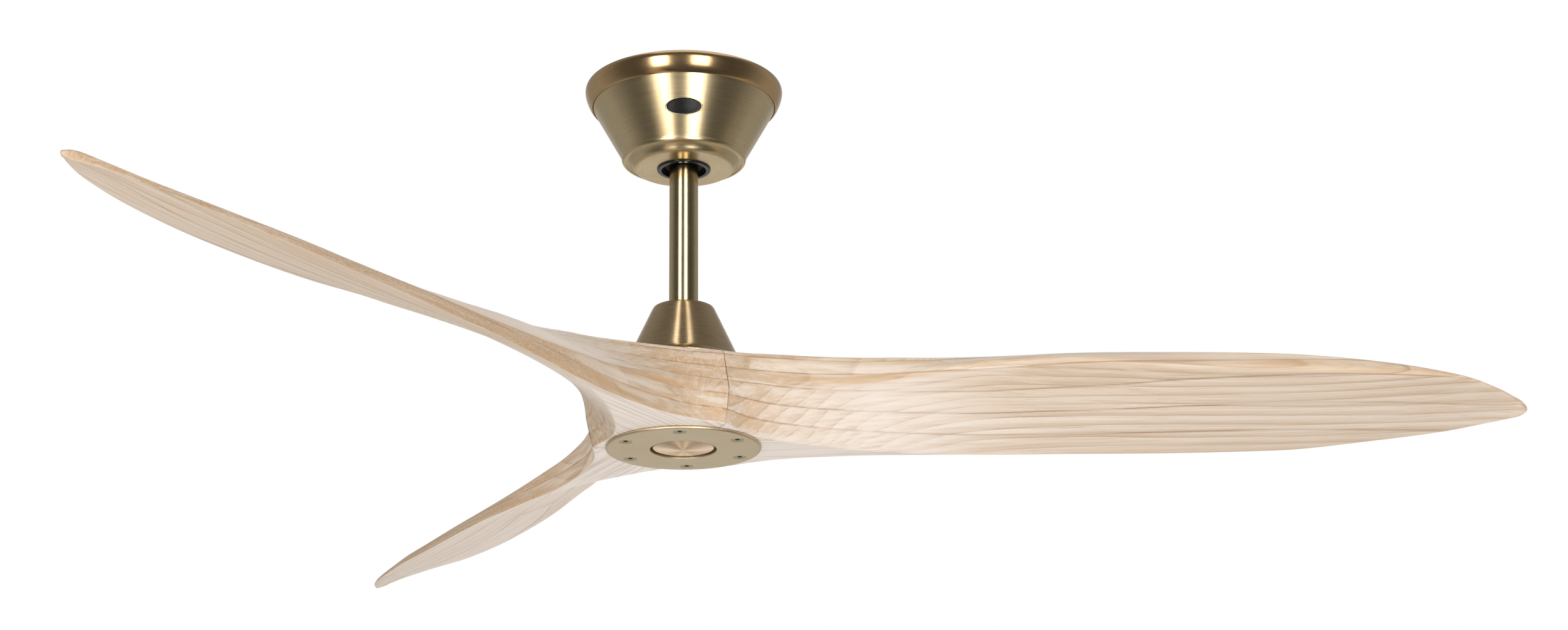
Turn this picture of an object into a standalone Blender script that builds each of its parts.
"""Ceiling fan with three carved wooden propeller blades.

Units are metres and +Z is up.  The origin is the middle of the ceiling plane, so
the whole fan hangs at negative Z.  Dimensions are in millimetres and degrees;
heights are counted up from the underside of the wooden hub.  Outlines turned
about the fan axis are lists of (radius, height).
"""

import math

import bmesh
import bpy
from mathutils import Matrix, Vector

# ----------------------------------------------------------------------------
# Driving dimensions shared between sections
# ----------------------------------------------------------------------------
MM = 0.001
CEILING = 351.0            # hub underside up to the ceiling
GAP = 0.3                  # assembly clearance between neighbouring pieces
SHARP_ANGLE = 35.0         # edges bent more than this stay hard
AXIS = (0, 0)              # the fan axis, as an (x, y) place

BLADE_COUNT = 3
BLADE_AZIMUTH = -3.19      # heading of the first blade
HUB_HEIGHT = 70.0          # thickness of the wooden hub

PLATE_PCD = 115.0          # pitch circle of the screws that hold the blades
PLATE_SCREWS = 6
SCREW_HOLE = 3.3           # radius of their holes in wood and bell

ROD_RADIUS = 13.35         # three-quarter inch pipe
ROD_SOCKET = ROD_RADIUS + GAP
PIN_RADIUS = 2.5           # the ball's cross pin and the yoke bolt
PIN_HOLE = PIN_RADIUS + GAP
PIN_HEIGHT = 316.0
BOLT_HEIGHT = 118.0

BALL_CENTRE = 312.0
BALL_RADIUS = 24.0
BALL_GAP = 0.4             # between ball and liner, and between liner and seat
LINER_IN = BALL_RADIUS + BALL_GAP
LINER_OUT = LINER_IN + 2.5
SEAT_IN = LINER_OUT + BALL_GAP
SEAT_OUT = 30.0

CANOPY_SCREW_HEIGHT = 338.0
CANOPY_SCREW_HOLE = 2.4

SHAFT_RADIUS = 7.2
BEARING_BORE = SHAFT_RADIUS + GAP
BEARING_WIDTH = 11.0
LOWER_BEARING, UPPER_BEARING = 10.6, 70.7      # undersides
ROTOR_BORE = 17.8


# ----------------------------------------------------------------------------
# Clean start
# ----------------------------------------------------------------------------
for old in list(bpy.data.objects):
    bpy.data.objects.remove(old, do_unlink=True)


# ----------------------------------------------------------------------------
# Materials
# ----------------------------------------------------------------------------
def material(name, colour, roughness, metallic):
    mat = bpy.data.materials.new(name)
    mat.use_nodes = True
    shader = mat.node_tree.nodes["Principled BSDF"]
    shader.inputs["Base Color"].default_value = (*colour, 1.0)
    shader.inputs["Roughness"].default_value = roughness
    shader.inputs["Metallic"].default_value = metallic
    mat.diffuse_color = (*colour, 1.0)
    return mat


def metal(name, colour, roughness):
    return material(name, colour, roughness, metallic=1.0)


def matter(name, colour, roughness):
    return material(name, colour, roughness, metallic=0.0)


WOOD = matter("wood_pale", colour=(0.60, 0.47, 0.33), roughness=0.5)
BRASS = metal("brass_brushed", colour=(0.72, 0.58, 0.38), roughness=0.3)
BRONZE = metal("bronze_dark", colour=(0.42, 0.33, 0.22), roughness=0.32)
PLATE = metal("brass_satin", colour=(0.74, 0.62, 0.44), roughness=0.42)
BLACK = matter("plastic_black", colour=(0.02, 0.02, 0.02), roughness=0.3)
BADGE = matter("badge_black", colour=(0.03, 0.03, 0.03), roughness=0.35)
ZINC = metal("steel_zinc", colour=(0.60, 0.61, 0.62), roughness=0.38)
STEEL = metal("steel_bright", colour=(0.66, 0.66, 0.66), roughness=0.2)
SCREW = metal("screw_brass", colour=(0.66, 0.53, 0.34), roughness=0.3)
CAST = metal("cast_alloy", colour=(0.55, 0.56, 0.57), roughness=0.45)
LAMINATION = metal("lamination_steel", colour=(0.32, 0.32, 0.34), roughness=0.5)
COPPER = metal("winding_copper", colour=(0.72, 0.36, 0.18), roughness=0.35)
MAGNET = material("magnet_dark", colour=(0.12, 0.12, 0.13), roughness=0.5, metallic=0.4)
NYLON = matter("nylon_white", colour=(0.82, 0.81, 0.77), roughness=0.45)
RUBBER = matter("rubber_black", colour=(0.03, 0.03, 0.03), roughness=0.8)
BOARD = matter("board_green", colour=(0.05, 0.20, 0.10), roughness=0.5)
HOUSING = matter("plastic_white", colour=(0.80, 0.80, 0.78), roughness=0.4)
CABLE = matter("cable_grey", colour=(0.20, 0.20, 0.21), roughness=0.6)


# ----------------------------------------------------------------------------
# Places and curves.  A span is a (low, high) pair.
# ----------------------------------------------------------------------------
def at(x, y, z):
    """A point given in millimetres above the hub underside, in metres."""
    return Vector((x * MM, y * MM, (z - CEILING) * MM))


def about(middle, half):
    """The span reaching half to either side of a middle."""
    return middle - half, middle + half


def polar(radius, degrees):
    angle = math.radians(degrees)
    return radius * math.cos(angle), radius * math.sin(angle)


def places_round(radius, first, count):
    """Evenly spaced (x, y) places on a circle round the fan axis."""
    return [polar(radius, first + 360 * k / count) for k in range(count)]


def ball_arc(radius, first, last, count):
    """(radius, height) points round part of a circle about the ball's centre."""
    points = [polar(radius, first + (last - first) * i / count) for i in range(count + 1)]
    return [(out, BALL_CENTRE + up) for out, up in points]


def ease(x, low, high):
    """0 below low, 1 above high, and a smooth step between."""
    t = min(1.0, max(0.0, (x - low) / (high - low)))
    return t * t * (3 - 2 * t)


def blend(start, end, share):
    return start * (1 - share) + end * share


# ----------------------------------------------------------------------------
# Shapes: each helper returns a closed bmesh
# ----------------------------------------------------------------------------
def turned(profile, steps):
    """A closed (radius, height) outline turned about the fan axis."""
    shape = bmesh.new()
    verts = [shape.verts.new(at(radius, 0.0, z)) for radius, z in profile]
    for i in range(len(verts)):
        j = (i + 1) % len(verts)
        if max(profile[i][0], profile[j][0]) > 1e-6:    # no edge along the axis itself
            shape.edges.new((verts[i], verts[j]))
    bmesh.ops.spin(shape, geom=shape.verts[:] + shape.edges[:], cent=(0, 0, 0), axis=(0, 0, 1),
                   angle=2 * math.pi, steps=steps, use_merge=True, use_duplicate=False)
    bmesh.ops.remove_doubles(shape, verts=shape.verts, dist=1e-7)
    bmesh.ops.recalc_face_normals(shape, faces=shape.faces)
    return shape


def prism(outline, low, high):
    """An (x, y) outline pulled up from one height to another."""
    shape = bmesh.new()
    face = shape.faces.new([shape.verts.new(at(x, y, low)) for x, y in outline])
    made = bmesh.ops.extrude_face_region(shape, geom=[face])
    top = [item for item in made["geom"] if isinstance(item, bmesh.types.BMVert)]
    bmesh.ops.translate(shape, verts=top, vec=(0, 0, (high - low) * MM))
    bmesh.ops.recalc_face_normals(shape, faces=shape.faces)
    return shape


def loft(sections):
    """A skin over rings of (x, y, z) points, closed at both ends."""
    shape = bmesh.new()
    rings = [[shape.verts.new(at(*point)) for point in section] for section in sections]
    for ring, following in zip(rings, rings[1:]):
        for i in range(len(ring)):
            j = (i + 1) % len(ring)
            shape.faces.new((ring[i], ring[j], following[j], following[i]))
    shape.faces.new(rings[0])
    shape.faces.new(rings[-1])
    bmesh.ops.recalc_face_normals(shape, faces=shape.faces)
    return shape


def block(x_span, y_span, z_span, bevel=0.0):
    shape = bmesh.new()
    spans = (x_span, y_span, z_span)
    size = Matrix.Diagonal([(high - low) * MM for low, high in spans] + [1.0])
    centre = Matrix.Translation(at(*[(low + high) / 2 for low, high in spans]))
    bmesh.ops.create_cube(shape, size=1.0, matrix=centre @ size)
    if bevel:
        bmesh.ops.bevel(shape, geom=shape.edges[:], offset=bevel * MM, segments=1,
                        affect="EDGES")
    return shape


def bar(start, end, radius, steps, end_radius=None):
    """A round bar between two points, tapered when end_radius is given."""
    start, end = at(*start), at(*end)
    along = end - start
    turn = along.to_track_quat("Z", "Y").to_matrix().to_4x4()
    shape = bmesh.new()
    bmesh.ops.create_cone(shape, cap_ends=True, cap_tris=False, segments=steps,
                          radius1=radius * MM,
                          radius2=(radius if end_radius is None else end_radius) * MM,
                          depth=along.length,
                          matrix=Matrix.Translation((start + end) / 2) @ turn)
    return shape


def upright(place, z_span, radius, steps, top_radius=None):
    """A vertical bar at an (x, y) place."""
    return bar((*place, z_span[0]), (*place, z_span[1]), radius, steps, top_radius)


def bar_x(x_span, y, z, radius, steps):
    return bar((x_span[0], y, z), (x_span[1], y, z), radius, steps)


def bar_y(y_span, z, radius, steps):
    """A bar along Y that crosses the fan axis or points at it."""
    return bar((0, y_span[0], z), (0, y_span[1], z), radius, steps)


def gathered(*shapes):
    """Several closed shapes in one bmesh, for one Boolean."""
    together = bmesh.new()
    for shape in shapes:
        mesh = bpy.data.meshes.new("shape")
        shape.to_mesh(mesh)
        shape.free()
        together.from_mesh(mesh)
        bpy.data.meshes.remove(mesh)
    return together


# ----------------------------------------------------------------------------
# Objects and Booleans
# ----------------------------------------------------------------------------
def shade(mesh):
    """Smooth shading with the hard edges kept."""
    mesh.shade_smooth()
    mesh.set_sharp_from_angle(angle=math.radians(SHARP_ANGLE))


def make(name, shape, mat):
    """A named object from a bmesh."""
    mesh = bpy.data.meshes.new(name)
    shape.to_mesh(mesh)
    shape.free()
    mesh.materials.append(mat)
    shade(mesh)
    obj = bpy.data.objects.new(name, mesh)
    bpy.context.scene.collection.objects.link(obj)
    return obj


def combine(obj, shape, operation):
    """One EXACT Boolean, settled into the object's own mesh."""
    tool = make(obj.name + "_tool", shape, obj.data.materials[0])
    step = obj.modifiers.new("shape", "BOOLEAN")
    step.operation = operation
    step.solver = "EXACT"
    step.object = tool
    bpy.context.view_layer.update()
    graph = bpy.context.evaluated_depsgraph_get()
    mesh = bpy.data.meshes.new_from_object(obj.evaluated_get(graph))
    obj.modifiers.remove(step)
    replaced, name = obj.data, obj.data.name
    obj.data = mesh
    bpy.data.meshes.remove(replaced)
    spent = tool.data
    bpy.data.objects.remove(tool, do_unlink=True)
    bpy.data.meshes.remove(spent)
    mesh.name = name
    shade(mesh)
    return obj


def cut(obj, *shapes):
    return combine(obj, gathered(*shapes), "DIFFERENCE")


def fuse(obj, *shapes):
    return combine(obj, gathered(*shapes), "UNION")


# ----------------------------------------------------------------------------
# Ceiling bracket and the boxes beside its legs
# ----------------------------------------------------------------------------
LEG_MIDDLE, LEG_HALF = 36.75, 1.25         # x of the bracket's legs, half their thickness
LEG_FACE = LEG_MIDDLE + LEG_HALF
ARM_HALF_WIDTH = 12
ARM_REACH = 80.5                           # half length of the arms, along Y
TAB_HALF = 1.25                            # half thickness of the tabs at the arm ends
TAB_MIDDLE = ARM_REACH - TAB_HALF
LEG_TOP = 349.5                            # legs and tabs end inside the disc and arms
BRACKET_DISC = [(0, 348.5), (60, 348.5), (60, 350.2), (59.2, CEILING), (0, CEILING)]
BRACKET_FLANGE = [(28.6, 306.4), (LEG_FACE, 306.4), (LEG_FACE, 308.9), (28.2, 308.9)]
SLOT_MIDDLE = 47                           # x of the two slots in the disc
BOX_START, BOX_END = LEG_FACE + GAP, 60    # x of both boxes, away from the axis


def ceiling_bracket():
    bracket = make("ceiling_bracket", turned(BRACKET_DISC, 24), ZINC)
    for x in (LEG_MIDDLE, -LEG_MIDDLE):
        fuse(bracket, block(about(x, LEG_HALF), (-18, 18), (305.8, LEG_TOP)))
    fuse(bracket, turned(BRACKET_FLANGE, 24))
    seat = ball_arc(SEAT_OUT, -10, -42, 3) + ball_arc(SEAT_IN, -42, -10, 3)
    fuse(bracket, turned(seat, 24))
    # the key that keeps the ball from turning
    fuse(bracket, block((22, 36.5), (-2, 2), about(PIN_HEIGHT, 1.5)))

    arm_width = about(0, ARM_HALF_WIDTH)
    fuse(bracket, block(arm_width, about(0, ARM_REACH), (348.6, 350.7)))
    for y in (TAB_MIDDLE, -TAB_MIDDLE):
        fuse(bracket, block(arm_width, about(y, TAB_HALF), (331.5, LEG_TOP)))

    through = (346, 353)
    slots = [block(about(x, 7.5), (-2.75, 2.75), through) for x in (-SLOT_MIDDLE, SLOT_MIDDLE)]
    cut(bracket, *slots, upright((0, 38), through, 9, 16))
    cut(bracket, *[bar_y(about(y, 5), CANOPY_SCREW_HEIGHT, CANOPY_SCREW_HOLE, 12)
                   for y in (79, -79)])


def terminal_block():
    """White block on the -X leg, with three blind holes in its outer face."""
    terminal = make("terminal_block",
                    block((-BOX_END, -BOX_START), (-16, 16), (320, 336), bevel=1.0), HOUSING)
    cut(terminal, *[bar_x((-65, -52), y, 328, 2.4, 10) for y in (-10, 0, 10)])


def receiver_box():
    """White box on the +X leg, with five upright grooves in its outer face."""
    receiver = make("receiver_box",
                    block((BOX_START, BOX_END), (-28, 28), (314, 338), bevel=1.6), HOUSING)
    cut(receiver, *[block(about(BOX_END, 1), about(y, 1), (318, 334))
                    for y in (-16, -8, 0, 8, 16)])


# ----------------------------------------------------------------------------
# Canopy
# ----------------------------------------------------------------------------
CANOPY_WALL = 1.2
CANOPY_HOLE = 23.6
CANOPY_LOW = 268.2
CONE_START_RADIUS, CONE_START = 57.6, 279.4    # lower end of the canopy's cone
CONE_END_RADIUS, CONE_END = 85.5, 329.9        # upper end
CONE_SPREAD = (CONE_END_RADIUS - CONE_START_RADIUS) / (CONE_END - CONE_START)
COLLAR_RADIUS = 84.6
COLLAR_TOP = 345.0
COLLAR_INSIDE = COLLAR_RADIUS - CANOPY_WALL
SCREW_HEAD_IN, SCREW_HEAD_OUT = COLLAR_RADIUS + GAP, 87.3
BADGE_WIDTH, BADGE_HEIGHT, BADGE_THICKNESS = 34.5, 16.3, 1.2
BADGE_DOME = 0.35                              # extra height of the face's middle
BADGE_LEVEL = 302.8
BADGE_STEPS = 20

CANOPY_OUTSIDE = [
    (CANOPY_HOLE, CANOPY_LOW), (42.8, CANOPY_LOW), (44.9, 268.45), (46.7, 269.3), (47.9, 270.7),
    (49.0, 272.4), (50.5, 274.1), (52.2, 275.3), (53.4, 275.5), (54.2, 274.7), (55.4, 274.2),
    (56.8, 274.9), (57.8, 276.4), (58.0, 277.9), (57.4, 278.9),
    (CONE_START_RADIUS, CONE_START), (CONE_END_RADIUS, CONE_END),
    (COLLAR_RADIUS, CONE_END + 0.8), (COLLAR_RADIUS, COLLAR_TOP),
]
CANOPY_INSIDE = [
    (COLLAR_INSIDE, COLLAR_TOP), (COLLAR_INSIDE, CONE_END + 0.7),
    (CONE_START_RADIUS - CANOPY_WALL * 1.1, CONE_START + 0.4),
    (56.2, 278.2), (55.6, 276.4), (54.6, 276.2), (53.4, 276.7), (51.6, 276.3), (49.8, 275.0),
    (48.2, 273.3), (46.9, 271.3), (45.8, 270.1), (43.8, 269.4),
    (CANOPY_HOLE, CANOPY_LOW + CANOPY_WALL),
]
TRIM_RING = [
    (85.9, 329.0), (87.6, 330.4), (89.7, 334.2), (91.8, 339.6), (92.7, 344.6), (91.9, 347.9),
    (90.3, 349.4), (88.4, 349.9), (88.3, 348.8), (89.8, 348.2), (90.9, 346.6), (91.2, 344.4),
    (90.4, 340.1), (88.4, 335.0), (86.7, 331.8), (85.9, 330.6),
]
GROMMET = [
    (20.7, 266.7), (24.4, 266.7), (24.9, 267.2), (24.9, 267.9), (23.2, 267.9), (23.2, 269.7),
    (24.7, 269.7), (24.7, 270.7), (22.3, 271.2), (22.1, 284.0), (20.7, 284.0),
]


def canopy_bowl():
    canopy = make("canopy_bowl", turned(CANOPY_OUTSIDE + CANOPY_INSIDE, 28), BRASS)
    cut(canopy, *[bar_y(about(y, 4), CANOPY_SCREW_HEIGHT, CANOPY_SCREW_HOLE, 12)
                  for y in (84, -84)])


def badge_point(size, angle, lift):
    """A point of the badge's oval, lifted square off the canopy's cone."""
    lean = math.atan(CONE_SPREAD)
    across = size * BADGE_WIDTH / 2 * math.cos(angle)
    up = size * BADGE_HEIGHT / 2 * math.sin(angle)
    z = BADGE_LEVEL + up * math.cos(lean)
    radius = CONE_START_RADIUS + CONE_SPREAD * (z - CONE_START)
    heading = -math.pi / 2 + across / radius
    radius += lift * math.cos(lean)
    return at(radius * math.cos(heading), radius * math.sin(heading), z - lift * math.sin(lean))


def canopy_badge():
    """A blank oval plate bent round the canopy's cone, facing -Y."""
    shape = bmesh.new()
    surfaces = []
    for lift, dome in ((GAP, 0.0), (GAP + BADGE_THICKNESS, BADGE_DOME)):
        rings = []
        for size in (0.0, 0.55, 1.0):       # a middle point and two ovals
            raised = lift + dome * (1 - size * size)
            angles = [2 * math.pi * k / BADGE_STEPS for k in range(BADGE_STEPS if size else 1)]
            rings.append([shape.verts.new(badge_point(size, angle, raised)) for angle in angles])
        surfaces.append(rings)
    for (middle,), oval, rim in surfaces:
        for k in range(BADGE_STEPS):
            j = (k + 1) % BADGE_STEPS
            shape.faces.new((middle, oval[k], oval[j]))
            shape.faces.new((oval[k], rim[k], rim[j], oval[j]))
    back_rim, face_rim = surfaces[0][2], surfaces[1][2]
    for k in range(BADGE_STEPS):
        j = (k + 1) % BADGE_STEPS
        shape.faces.new((back_rim[k], face_rim[k], face_rim[j], back_rim[j]))
    bmesh.ops.recalc_face_normals(shape, faces=shape.faces)
    make("canopy_badge", shape, BADGE)


def canopy_screw(number, side):
    """A slotted screw through the collar into the bracket's tab; side is +1 or -1 in Y."""
    height = CANOPY_SCREW_HEIGHT
    head = bar_y((side * SCREW_HEAD_IN, side * SCREW_HEAD_OUT), height, 3.9, 14)
    screw = make("canopy_screw_%d" % number, head, SCREW)
    fuse(screw, bar_y((side * 74.5, side * 86.0), height, 1.9, 10))
    cut(screw, block((-0.5, 0.5), about(side * SCREW_HEAD_OUT, 1.0), about(height, 5)))


# ----------------------------------------------------------------------------
# Hanger ball, rod and yoke
# ----------------------------------------------------------------------------
BALL_FLAT = 322.0                          # height of the ball's flat top
BALL_OPENING = 54                          # degrees below the centre where the ball ends
ROD_BORE = 11.2
ROD_LOW, ROD_HIGH = 108.9, 330.0
SHAFT_SOCKET = 7.8                         # yoke bore round the motor shaft
YOKE_RADIUS = 22
YOKE_LIP_RADIUS = 24.6
YOKE_TOP = 127
YOKE_FLOOR = 108.3                         # the rod's socket starts here
BOLT_HEAD_IN = YOKE_RADIUS + GAP
BOLT_HEAD_OUT = BOLT_HEAD_IN + 4
BOLT_HEAD_RADIUS = 4.9                     # to the corners of the hexagon
SET_SCREW_HEIGHT, SET_SCREW_RADIUS = 98, 2.0
YOKE = [
    (SHAFT_SOCKET, 88), (20.6, 88), (YOKE_RADIUS, 89.4), (YOKE_RADIUS, 124),
    (YOKE_LIP_RADIUS, 124), (YOKE_LIP_RADIUS, YOKE_TOP), (ROD_SOCKET, YOKE_TOP),
    (ROD_SOCKET, YOKE_FLOOR), (SHAFT_SOCKET, YOKE_FLOOR),
]
CONE_WASHER = [(14.2, YOKE_TOP + GAP), (23.4, YOKE_TOP + GAP), (23.8, 128.3), (23.4, 129.4),
               (14.2, 129.4)]


def ball_seat_liner():
    profile = ball_arc(LINER_OUT, -12, -42, 3) + ball_arc(LINER_IN, -42, -12, 3)
    return make("ball_seat_liner", turned(profile, 24), NYLON)


def hanger_ball():
    flat = math.degrees(math.asin((BALL_FLAT - BALL_CENTRE) / BALL_RADIUS))
    bottom = BALL_CENTRE - BALL_RADIUS * math.sin(math.radians(BALL_OPENING))
    profile = (ball_arc(BALL_RADIUS, -BALL_OPENING, flat, 8)
               + [(ROD_SOCKET, BALL_FLAT), (ROD_SOCKET, bottom)])
    ball = make("hanger_ball", turned(profile, 24), BLACK)
    cut(ball, bar_y((-26, 26), PIN_HEIGHT, PIN_HOLE, 12))
    return cut(ball, block((21.2, 27), (-3, 3), (304, 326)))    # groove for the bracket's key


def ball_cross_pin():
    return make("ball_cross_pin", bar_y((-22, 22), PIN_HEIGHT, PIN_RADIUS, 12), STEEL)


def downrod():
    profile = [(ROD_BORE, ROD_LOW), (ROD_RADIUS, ROD_LOW), (ROD_RADIUS, ROD_HIGH),
               (ROD_BORE, ROD_HIGH)]
    rod = make("downrod", turned(profile, 20), BRASS)
    return cut(rod, bar_y((-20, 20), PIN_HEIGHT, PIN_HOLE, 12),
               bar_x((-20, 20), 0, BOLT_HEIGHT, PIN_HOLE, 12))


def motor_yoke():
    yoke = make("motor_yoke", turned(YOKE, 20), CAST)
    return cut(yoke, bar_x((-26, 26), 0, BOLT_HEIGHT, PIN_HOLE, 12),
               bar_y((6, 26), SET_SCREW_HEIGHT, SET_SCREW_RADIUS + GAP, 10))


def yoke_bolt():
    bolt = make("yoke_bolt", bar_x((-27.4, 23.5), 0, BOLT_HEIGHT, PIN_RADIUS, 12), ZINC)
    return fuse(bolt, bar_x((BOLT_HEAD_IN, BOLT_HEAD_OUT), 0, BOLT_HEIGHT, BOLT_HEAD_RADIUS, 6))


def yoke_bolt_nut():
    hexagon = bar_x((-BOLT_HEAD_OUT, -BOLT_HEAD_IN), 0, BOLT_HEIGHT, BOLT_HEAD_RADIUS, 6)
    nut = make("yoke_bolt_nut", hexagon, ZINC)
    return cut(nut, bar_x((-30, -20), 0, BOLT_HEIGHT, PIN_HOLE, 12))


def yoke_set_screw():
    shape = bar_y((7.7, 21.4), SET_SCREW_HEIGHT, SET_SCREW_RADIUS, 10)
    return make("yoke_set_screw", shape, ZINC)


# ----------------------------------------------------------------------------
# Motor cover
# ----------------------------------------------------------------------------
CONE_TOP_RADIUS = 28.4     # outer radius at CONE_TOP
CONE_TOP = 130.0
CONE_SLOPE = 0.46          # radius gained per unit of height going down
CONE_BOTTOM = 75.6
CONE_RIM = 56.0
CONE_WALL = 1.5
CONE_TOP_INSIDE = CONE_TOP - 1.4


def cone_radius(z):
    return CONE_TOP_RADIUS + CONE_SLOPE * (CONE_TOP - z)


MOTOR_CONE = [
    (14.3, 131.9), (22.6, 131.8), (25.8, 131.3), (27.3, 130.9),
    (cone_radius(CONE_TOP), CONE_TOP), (cone_radius(82), 82), (cone_radius(80) + 0.5, 79.6),
    (55.2, 77.2), (CONE_RIM, CONE_BOTTOM), (CONE_RIM - CONE_WALL, CONE_BOTTOM), (53.8, 76.6),
    (cone_radius(80) - CONE_WALL, 78.6), (cone_radius(82) - CONE_WALL - 0.1, 81),
    (cone_radius(CONE_TOP_INSIDE) - CONE_WALL - 0.2, CONE_TOP_INSIDE),
    (25.2, 129.9), (14.3, 130.3),
]

# ----------------------------------------------------------------------------
# Motor, the part that stays still
# ----------------------------------------------------------------------------
STATOR_LOW, STATOR_HIGH, STATOR_RADIUS = 32.0, 56.0, 37.5
STATOR_TEETH = 12
TOOTH_PITCH = 360 / STATOR_TEETH           # degrees
TOOTH_ROOT, TOOTH_NECK = 19.5, 33.5        # radii where the tooth's stem starts and ends
TOOTH_SHOE = 34.6                          # inner radius of the tooth's wide end
TOOTH_HALF = 2.6                           # half width of the stem
CABLE_RADIUS, CABLE_SIDES = 2.1, 8
CABLE_OFFSET = 5.8                         # x and y of the cable inside the rod
SHAFT = [
    (4.5, -1.5), (SHAFT_RADIUS, -1.5), (SHAFT_RADIUS, 8.9), (6.7, 8.9), (6.7, 10.2),
    (SHAFT_RADIUS, 10.2), (SHAFT_RADIUS, 24), (12, 24), (12, 62), (SHAFT_RADIUS, 62),
    (SHAFT_RADIUS, 107.4), (6.6, 108), (4.5, 108),
]
WINDING_TOP = [(21.0, 56.6), (32.6, 56.6), (32.6, 59.6), (30.8, 61.2), (22.8, 61.2), (21.0, 59.6)]
WINDING_LOW = [(21.0, 31.4), (21.0, 28.4), (22.8, 26.8), (30.8, 26.8), (32.6, 28.4), (32.6, 31.4)]
BOARD_RING = [(16, 63.0), (35, 63.0), (35, 64.6), (16, 64.6)]
CIRCLIP = [(7.0, 9.15), (9.9, 9.15), (9.9, 9.95), (7.0, 9.95)]
END_CAP = [
    (0, -3.8), (9, -3.4), (18, -2.65), (25, -1.85), (27.3, -1.4), (27.8, -0.9), (27.8, 0.8),
    (26.3, 0.8), (26.2, -0.2), (20, -1.1), (10.4, -1.9), (10.2, 5.6), (7.6, 5.6), (7.6, -2.0),
    (0, -2.0),
]


def motor_shaft():
    """Hollow shaft with a hole in its side above the stator."""
    shaft = make("motor_shaft", turned(SHAFT, 16), STEEL)
    return cut(shaft, bar_x((2, 9), 0, 66.4, 2.0, 10))


def stator_core():
    root = math.degrees(TOOTH_HALF / TOOTH_ROOT)
    neck = math.degrees(TOOTH_HALF / TOOTH_NECK)
    shoe = TOOTH_PITCH / 2 - 2.0
    # one slot floor and one tooth: radius, degrees from the tooth's middle
    tooth = (
        (TOOTH_ROOT, 0.4 - TOOTH_PITCH / 2), (TOOTH_ROOT, -root), (TOOTH_NECK, -neck),
        (TOOTH_SHOE, -shoe), (STATOR_RADIUS, -shoe), (STATOR_RADIUS, 0.0),
        (STATOR_RADIUS, shoe), (TOOTH_SHOE, shoe), (TOOTH_NECK, neck), (TOOTH_ROOT, root),
    )
    outline = [polar(radius, TOOTH_PITCH * k + offset)
               for k in range(STATOR_TEETH) for radius, offset in tooth]
    core = make("stator_core", prism(outline, STATOR_LOW, STATOR_HIGH), LAMINATION)
    return cut(core, upright(AXIS, (STATOR_LOW - 3, STATOR_HIGH + 3), 12.3, 24))


def stator_winding():
    """Copper rings above and below the core, joined by a bar in each slot."""
    rings = gathered(turned(WINDING_TOP, 24), turned(WINDING_LOW, 24))
    winding = make("stator_winding", rings, COPPER)
    slot_bars = []
    for k in range(STATOR_TEETH):
        turn = math.radians(TOOTH_PITCH * (k + 0.5))
        slot_bar = block((22.2, 31.6), (-1.9, 1.9), (29.0, 59.0))
        bmesh.ops.rotate(slot_bar, verts=slot_bar.verts, cent=(0, 0, 0),
                         matrix=Matrix.Rotation(turn, 3, "Z"))
        slot_bars.append(slot_bar)
    return fuse(winding, *slot_bars)


def motor_board():
    """Ring-shaped circuit board with three raised blocks."""
    board = make("motor_board", turned(BOARD_RING, 20), BOARD)
    return fuse(board, block((20, 28), (-4, 4), (64.0, 67.4)),
                block((-29, -22), (-3, 3), (64.0, 66.8)),
                block((-3, 3), (21, 31), (64.0, 67.0)))


def shaft_circlip():
    circlip = make("shaft_circlip", turned(CIRCLIP, 16), STEEL)
    return cut(circlip, block((5, 12), (-2.2, 2.2), (8, 11)))


def motor_cable():
    """Cable up the middle of the shaft, past the bolt and the pin, to a plug."""
    line = [(0.0, 0.0, z) for z in (63.6, 84.0, 104.5)]
    for k in range(1, 8):                   # the swing out from the axis
        aside = CABLE_OFFSET * ease(k / 8, 0, 1)
        line.append((aside, aside, 105.5 + 9.5 * k / 8))
    line += [(CABLE_OFFSET, CABLE_OFFSET, z) for z in (116.0, 170.0, 230.0, 290.0, 339.0)]
    side = Vector((1, -1, 0)).normalized()
    sections = []
    for i, point in enumerate(line):
        before, after = line[max(0, i - 1)], line[min(len(line) - 1, i + 1)]
        along = (Vector(after) - Vector(before)).normalized()
        other = along.cross(side).normalized()
        angles = [2 * math.pi * k / CABLE_SIDES for k in range(CABLE_SIDES)]
        sections.append([
            Vector(point) + CABLE_RADIUS * (side * math.cos(angle) + other * math.sin(angle))
            for angle in angles])
    cable = make("motor_cable", loft(sections), CABLE)
    plug = about(CABLE_OFFSET, 4.2)
    return fuse(cable, block(plug, plug, (336.0, 345.0), bevel=0.8))


# ----------------------------------------------------------------------------
# Bearings
# ----------------------------------------------------------------------------
BEARING_OUTSIDE = ROTOR_BORE - GAP
BEARING_PITCH = (BEARING_BORE + BEARING_OUTSIDE) / 2
BALL_SIZE, BALL_COUNT = 2.6, 8             # radius and number of the bearing's balls
INNER_FACE, INNER_GROOVE = 10.3, 9.2       # radii of the inner ring's outside
OUTER_FACE, OUTER_GROOVE = 14.7, 15.8      # radii of the outer ring's inside
GROOVE_HALF = 2.5                          # half height of both grooves


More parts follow.
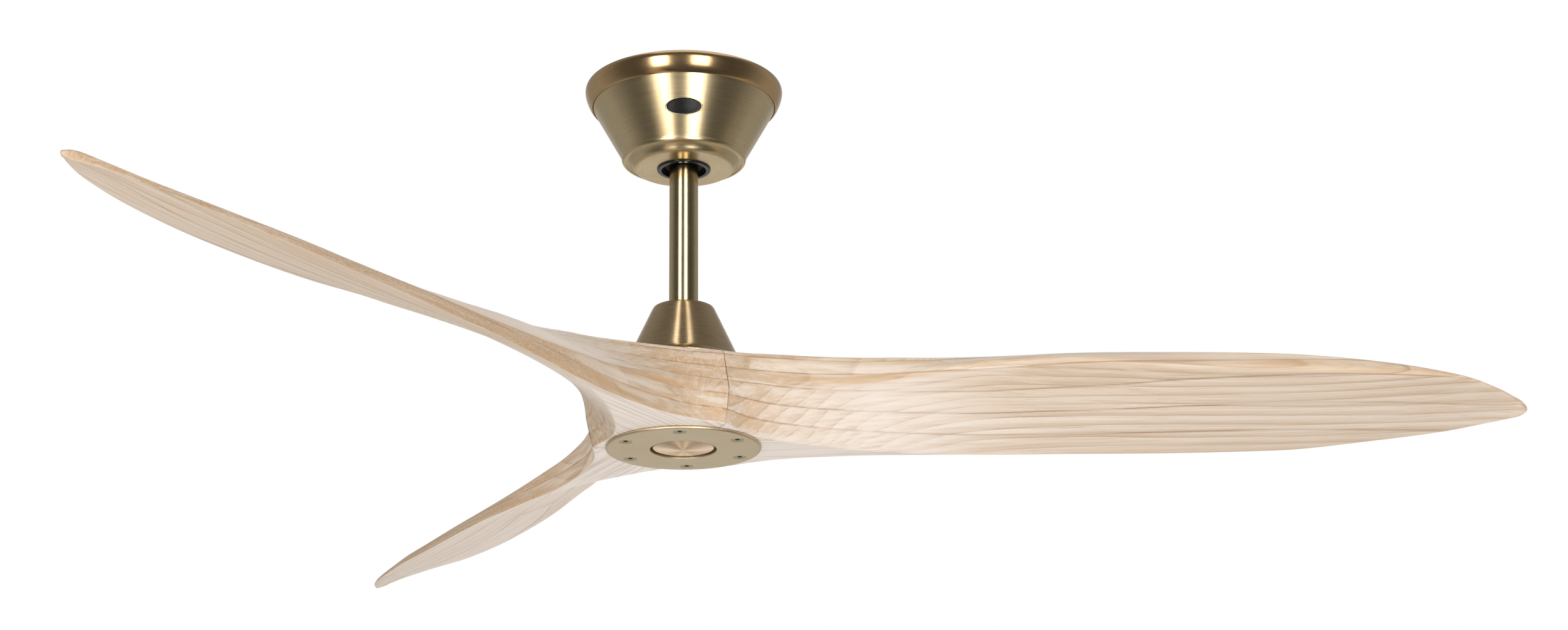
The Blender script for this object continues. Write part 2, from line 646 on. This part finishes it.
def bearing(place, low):
    """Inner ring, outer ring and the cage with its balls."""
    middle = low + BEARING_WIDTH / 2
    high = low + BEARING_WIDTH
    groove_low, groove_high = about(middle, GROOVE_HALF)
    inner = make(place + "_bearing_inner", turned(
        [(BEARING_BORE, low), (INNER_FACE, low), (INNER_FACE, groove_low),
         (INNER_GROOVE, middle), (INNER_FACE, groove_high), (INNER_FACE, high),
         (BEARING_BORE, high)], 16), STEEL)
    outer = make(place + "_bearing_outer", turned(
        [(BEARING_OUTSIDE, high), (OUTER_FACE, high), (OUTER_FACE, groove_high),
         (OUTER_GROOVE, middle), (OUTER_FACE, groove_low), (OUTER_FACE, low),
         (BEARING_OUTSIDE, low)], 16), STEEL)
    cage = make(place + "_bearing_balls", turned(
        [(11.5, middle - 0.7), (13.5, middle - 0.7), (13.5, middle + 0.7),
         (11.5, middle + 0.7)], 16), STEEL)
    balls = []
    for x, y in places_round(BEARING_PITCH, 180 / BALL_COUNT, BALL_COUNT):
        ball = bmesh.new()
        bmesh.ops.create_uvsphere(ball, u_segments=6, v_segments=4, radius=BALL_SIZE * MM,
                                  matrix=Matrix.Translation(at(x, y, middle)))
        balls.append(ball)
    return inner, outer, fuse(cage, *balls)


# ----------------------------------------------------------------------------
# Rotor and hub plate
# ----------------------------------------------------------------------------
PLATE_RADIUS = 70.0
PLATE_HOLE = 30.0
PLATE_LOW, PLATE_HIGH = -3.0, -GAP
COVER_SCREWS = 3
COVER_SCREW_HOLE = 1.75
ROTOR_RADIUS = 46
COVER_TOP = 22
BELL_LOW = COVER_TOP + GAP
SCREW_PLACES = places_round(PLATE_PCD / 2, BLADE_AZIMUTH + 30, PLATE_SCREWS)
COVER_PLACES = places_round(43.5, BLADE_AZIMUTH, COVER_SCREWS)
ROTOR_BELL = [
    (41, BELL_LOW), (ROTOR_RADIUS, BELL_LOW), (ROTOR_RADIUS, 70.3), (65, 70.3), (65, 73.1),
    (21, 73.1), (21, 83.2), (14, 83.2), (14, 82.0), (ROTOR_BORE, 82.0), (ROTOR_BORE, 70.0),
    (41, 70.0),
]
END_COVER = [
    (14, 9), (21, 9), (21, 19), (ROTOR_RADIUS, 19), (46.3, 20), (ROTOR_RADIUS, COVER_TOP),
    (ROTOR_BORE, COVER_TOP), (ROTOR_BORE, 10.3), (14, 10.3),
]
MAGNET_RING = [(38.2, 30), (40.7, 30), (40.7, 58), (38.2, 58)]
HUB_PLATE = [
    (PLATE_HOLE, PLATE_LOW + 0.3), (PLATE_HOLE + 0.3, PLATE_LOW),
    (PLATE_RADIUS - 0.8, PLATE_LOW), (PLATE_RADIUS, PLATE_LOW + 0.8),
    (PLATE_RADIUS, PLATE_HIGH), (PLATE_HOLE, PLATE_HIGH),
]


def rotor_bell():
    bell = make("rotor_bell", turned(ROTOR_BELL, 28), CAST)
    return cut(bell, *[upright(place, (66, 76), SCREW_HOLE, 10) for place in SCREW_PLACES],
               *[upright(place, (18, 33), COVER_SCREW_HOLE, 10) for place in COVER_PLACES])


def rotor_end_cover():
    cover = make("rotor_end_cover", turned(END_COVER, 24), CAST)
    return cut(cover, *[upright(place, (15, 26), COVER_SCREW_HOLE, 10)
                        for place in COVER_PLACES])


def cover_screw(number, place):
    screw = make("cover_screw_%d" % number, upright(place, (16.2, 18.7), 2.8, 14), ZINC)
    fuse(screw, upright(place, (17.5, 31.5), 1.4, 8))
    return cut(screw, upright(place, (15.5, 17.2), 1.3, 6))


def hub_plate():
    """Brass ring under the hub, with countersunk screw holes."""
    plate = make("hub_plate", turned(HUB_PLATE, 36), PLATE)
    cut(plate, *[upright(place, (PLATE_LOW - 0.1, -0.2), 6.6, 12, top_radius=3.4)
                 for place in SCREW_PLACES])
    return cut(plate, *[upright(place, (-1.5, 2.0), 3.35, 12) for place in SCREW_PLACES])


def plate_screw(number, place):
    """Countersunk screw up through the hub, with a hexagon socket."""
    head = upright(place, (-2.95, 0.1), 6.2, 12, top_radius=2.8)
    screw = make("plate_screw_%d" % number, head, SCREW)
    fuse(screw, upright(place, (-0.6, 72.8), 2.6, 10))
    return cut(screw, upright(place, (-4.0, -1.2), 2.3, 6))


# ----------------------------------------------------------------------------
# Blades.  The first is modelled along +X; leading edge towards -Y.
# ----------------------------------------------------------------------------
BLADE_TIP = 760.0          # tip radius, a 1520 mm sweep
HUB_BORE = 33.0            # bore through the wood
HUB_POCKET = 47.5          # pocket that takes the motor
HUB_POCKET_FLOOR = 14.0
SEAM = 0.15                # half of the joint between two blades
SEAM_ANGLE = math.radians(180 / BLADE_COUNT)                # between the blade's line and a seam
SQUARE_FLOW = math.tan(math.radians(90 - 180 / BLADE_COUNT))  # slope square to a seam

# Blade stations, root to tip: distance from the fan axis, then across (y) and
# up (z) of the corners: leading edge top, leading edge bottom, trailing edge
# bottom, trailing edge top.
BLADE_STATIONS = (
    (40, -67, 70, -79.5, 30, 71.5, 0, 79.5, 30),
    (90, -51.6, 70, -54.2, 41, 49.4, 0, 50.5, 34.3),
    (130, -42.4, 70, -45.8, 44, 43, 0, 42.9, 30.1),
    (170, -37.7, 70, -44, 45.8, 40.8, 0, 41.4, 25.8),
    (220, -36.8, 69.5, -51.2, 51.6, 42.9, 0, 42.5, 22.5),
    (280, -42.4, 67.5, -63, 57, 48.6, 0.3, 43.5, 19.9),
    (350, -51.2, 66.8, -75.7, 54.8, 53.4, 1.4, 45.5, 17.3),
    (440, -58.7, 64.1, -75.6, 47, 55.6, 1.3, 47.5, 15.3),
    (540, -64.2, 59.1, -72.4, 42.3, 55.7, 2.4, 47, 13.9),
    (630, -57.8, 51.2, -62.5, 39.8, 45.2, 7.6, 38.5, 16),
    (690, -47.4, 42.4, -47.6, 39.2, 34.5, 12.1, 30.3, 18.1),
    (730, -24.1, 35.6, -23.2, 33.0, 22.8, 16.6, 19.2, 23.1),
    (750, -7.7, 31.2, -6.2, 26.4, 13.5, 18.2, 11.4, 26.9),
    (760, -0.5, 28.3, 1.1, 21.4, 8.1, 18.6, 7, 28.0),
)
# Where the hub's flat underside ends, and where its flat top ends: (x, y).
FLOOR_LINE = ((40, -71.5), (60, -36), (80, -18), (105, -3), (135, 12.5), (165, 25), (215, 35))
ROOF_LINE = ((40, 67), (60, 47), (80, 30), (105, 11), (135, -8.8), (165, -22), (200, -39))
# Distances from the axis at which sections are lofted.
BLADE_SLICES = (
    [-12.0, 31.0, 47.0, 56.0, 68.0, 84.0, 104.0, 128.0, 156.0, 188.0, 224.0]
    + [224.0 + 56.0 * k for k in range(1, 8)]
    + [656.0, 688.0, 712.0, 732.0, 746.0, 755.0, BLADE_TIP])
CORNER_RADII = (4.0, 5.0, 4.0, 2.0, 3.0, 6.0)   # in the order of blade_corners
CORNER_STEPS = 2
ROOF_CORNER = 1            # place of the top break among the corners
CAMBER = 1.5


def smooth_through(xs, ys, x, start=None):
    """A smooth curve through stations, with no overshoot between them."""
    last = len(xs) - 1
    gaps = [xs[i + 1] - xs[i] for i in range(last)]
    rises = [(ys[i + 1] - ys[i]) / gaps[i] for i in range(last)]
    slopes = [rises[0] if start is None else start] + [0.0] * (last - 1) + [rises[-1]]
    for i in range(1, last):
        if rises[i - 1] * rises[i] > 0:
            before, after = 2 * gaps[i] + gaps[i - 1], gaps[i] + 2 * gaps[i - 1]
            slopes[i] = (before + after) / (before / rises[i - 1] + after / rises[i])
    if x <= xs[0]:
        return ys[0]
    if x >= xs[-1]:
        return ys[-1]
    i = max(k for k in range(last) if xs[k] <= x)
    t = (x - xs[i]) / gaps[i]
    return ((1 + 2 * t) * (1 - t) ** 2 * ys[i] + t * (1 - t) ** 2 * gaps[i] * slopes[i]
            + t * t * (3 - 2 * t) * ys[i + 1] + t * t * (t - 1) * gaps[i] * slopes[i + 1])


def blade_corners(x):
    """The six (y, z) corners of the blade's section at distance x from the axis:
    leading top, roof break, trailing top, trailing bottom, floor break, leading bottom."""
    root, root_lead = BLADE_STATIONS[0][:2]
    if x < root:        # inside the seams the walls run straight on
        grow = 1 + SQUARE_FLOW * (root - x) / -root_lead
        return [(y * grow, z) for y, z in blade_corners(root)]
    distances, *columns = zip(*BLADE_STATIONS)
    # walls leave the seams at right angles
    starts = (SQUARE_FLOW, None, SQUARE_FLOW, None, -SQUARE_FLOW, None, -SQUARE_FLOW, None)
    values = [smooth_through(distances, column, x, start)
              for column, start in zip(columns, starts)]
    lead_top, lead_low, trail_low, trail_top = zip(values[::2], values[1::2])

    # underside break: the hub's flat floor first, then close behind the trailing edge
    width = max(0.01, trail_low[0] - lead_low[0])
    near = min(4.0, 0.35 * width)
    edge_y = trail_low[0] - near
    edge_z = trail_low[1] + (lead_low[1] - trail_low[1]) * near / width
    hub_y = smooth_through(*zip(*FLOOR_LINE), x, 1.2)
    floor = (blend(min(hub_y, edge_y), edge_y, ease(x, 165, 235)),
             edge_z * ease(x, 185, 260))

    # top break: the hub's flat roof first, then close behind the leading edge
    width = max(0.01, trail_top[0] - lead_top[0])
    near = min(4.0, 0.35 * width)
    edge_y = lead_top[0] + near
    edge_z = lead_top[1] + (trail_top[1] - lead_top[1]) * near / width
    hub_y = smooth_through(*zip(*ROOF_LINE), x, -0.9)
    roof = (blend(max(hub_y, edge_y), edge_y, ease(x, 150, 215)),
            blend(HUB_HEIGHT, edge_z, ease(x, 165, 250)))
    return [lead_top, roof, trail_top, trail_low, floor, lead_low]


def rounded_corner(before, here, after, radius):
    """CORNER_STEPS + 1 points of the curve that rounds one corner."""
    lengths = [math.dist(here, end) for end in (before, after)]
    ways = [((end[0] - here[0]) / length, (end[1] - here[1]) / length)
            for end, length in zip((before, after), lengths)]
    cosine = ways[0][0] * ways[1][0] + ways[0][1] * ways[1][1]
    half = math.acos(max(-1.0, min(1.0, cosine))) / 2
    reach = radius / max(0.05, math.tan(half))
    ends = []
    for way, length in zip(ways, lengths):
        back = min(0.46 * length, max(reach, 0.06 * length))
        ends.append((here[0] + way[0] * back, here[1] + way[1] * back))
    start, end = ends
    points = []
    for k in range(CORNER_STEPS + 1):
        t = k / CORNER_STEPS
        points.append(tuple(
            (1 - t) ** 2 * start[c] + 2 * t * (1 - t) * here[c] + t * t * end[c]
            for c in (0, 1)))
    return points


def blade_section(x):
    """The rounded outline of the blade at distance x, as (x, y, z) points."""
    corners = blade_corners(x)
    outline = []
    for i, here in enumerate(corners):
        after = corners[(i + 1) % len(corners)]
        outline += rounded_corner(corners[i - 1], here, after, CORNER_RADII[i])
        if i == ROOF_CORNER:    # a little camber on the upper face
            rise = CAMBER * ease(x, 150, 320) * (1 - ease(x, 640, 755))
            for share in (0.36, 0.64):
                outline.append((here[0] + (after[0] - here[0]) * share,
                                here[1] + (after[1] - here[1]) * share + rise))
    return [(x, y, z) for y, z in outline]


def blade(name):
    """A blade with its third of the hub, cut along the seams and bored for the motor."""
    obj = make(name, loft([blade_section(x) for x in BLADE_SLICES]), WOOD)
    tip = SEAM / math.sin(SEAM_ANGLE)
    widen, far = 100.0, 900.0               # the wedge opens up to widen, then runs straight
    half = math.tan(SEAM_ANGLE) * (widen - tip)
    wedge = [(tip, 0.0), (widen, -half), (far, -half), (far, half), (widen, half)]
    combine(obj, prism(wedge, -8.0, 84.0), "INTERSECT")
    cut(obj, upright(AXIS, (-4, 30), HUB_BORE, 24))
    cut(obj, upright(AXIS, (HUB_POCKET_FLOOR, 78), HUB_POCKET, 30))
    return cut(obj, *[upright(polar(PLATE_PCD / 2, angle), (-4, 76), SCREW_HOLE, 8)
                      for angle in (-30, 30)])


# ----------------------------------------------------------------------------
# Joint axes: every moving piece hangs from an empty on its own axis
# ----------------------------------------------------------------------------
def pivot(name, height, parent=None):
    """An empty on the fan axis; its "place" keeps where it is in the world."""
    place = at(*AXIS, height)
    empty = bpy.data.objects.new(name, None)
    empty.empty_display_size = 0.05
    bpy.context.scene.collection.objects.link(empty)
    if parent is None:
        empty.location = place
    else:
        empty.parent = parent
        empty.location = place - Vector(parent["place"])
    empty["place"] = list(place)
    return empty


def hang(empty, pieces):
    """Parent pieces to an empty and move their origins onto it."""
    place = Vector(empty["place"])
    for obj in pieces:
        obj.data.transform(Matrix.Translation(-place))
        obj.parent = empty
        obj.location = (0, 0, 0)


# ----------------------------------------------------------------------------
# Assembly
# ----------------------------------------------------------------------------
ceiling_bracket()
canopy_bowl()
make("canopy_trim_ring", turned(TRIM_RING, 28), BRONZE)
make("canopy_grommet", turned(GROMMET, 20), BLACK)
canopy_badge()
canopy_screw(1, side=1)
canopy_screw(2, side=-1)
terminal_block()
receiver_box()

hanger_pivot = pivot("hanger_pivot", BALL_CENTRE)
rotor_axis = pivot("rotor_axis", 0, hanger_pivot)
lower_cage_axis = pivot("lower_cage_axis", LOWER_BEARING + BEARING_WIDTH / 2, hanger_pivot)
upper_cage_axis = pivot("upper_cage_axis", UPPER_BEARING + BEARING_WIDTH / 2, hanger_pivot)

lower_inner, lower_outer, lower_balls = bearing("lower", LOWER_BEARING)
upper_inner, upper_outer, upper_balls = bearing("upper", UPPER_BEARING)

hang(hanger_pivot, [
    ball_seat_liner(), hanger_ball(), ball_cross_pin(), downrod(),
    motor_yoke(), yoke_bolt(), yoke_bolt_nut(), yoke_set_screw(),
    make("cone_washer", turned(CONE_WASHER, 20), RUBBER),
    make("motor_cone", turned(MOTOR_CONE, 28), BRASS),
    motor_shaft(), stator_core(), stator_winding(), motor_board(),
    lower_inner, upper_inner, shaft_circlip(),
    make("end_cap", turned(END_CAP, 24), BRASS),
    motor_cable(),
])
hang(lower_cage_axis, [lower_balls])
hang(upper_cage_axis, [upper_balls])

first_blade = blade("blade_1")
hang(rotor_axis, [
    rotor_bell(), rotor_end_cover(),
    *[cover_screw(k + 1, place) for k, place in enumerate(COVER_PLACES)],
    make("magnet_ring", turned(MAGNET_RING, 28), MAGNET),
    lower_outer, upper_outer, hub_plate(),
    *[plate_screw(k + 1, place) for k, place in enumerate(SCREW_PLACES)],
    first_blade,
])

# The other blades share the first one's mesh.
blades = [first_blade]
for k in range(1, BLADE_COUNT):
    twin = bpy.data.objects.new("blade_%d" % (k + 1), first_blade.data)
    bpy.context.scene.collection.objects.link(twin)
    twin.parent = rotor_axis
    blades.append(twin)
for k, obj in enumerate(blades):
    obj.rotation_euler = (0, 0, math.radians(BLADE_AZIMUTH + 360 * k / BLADE_COUNT))
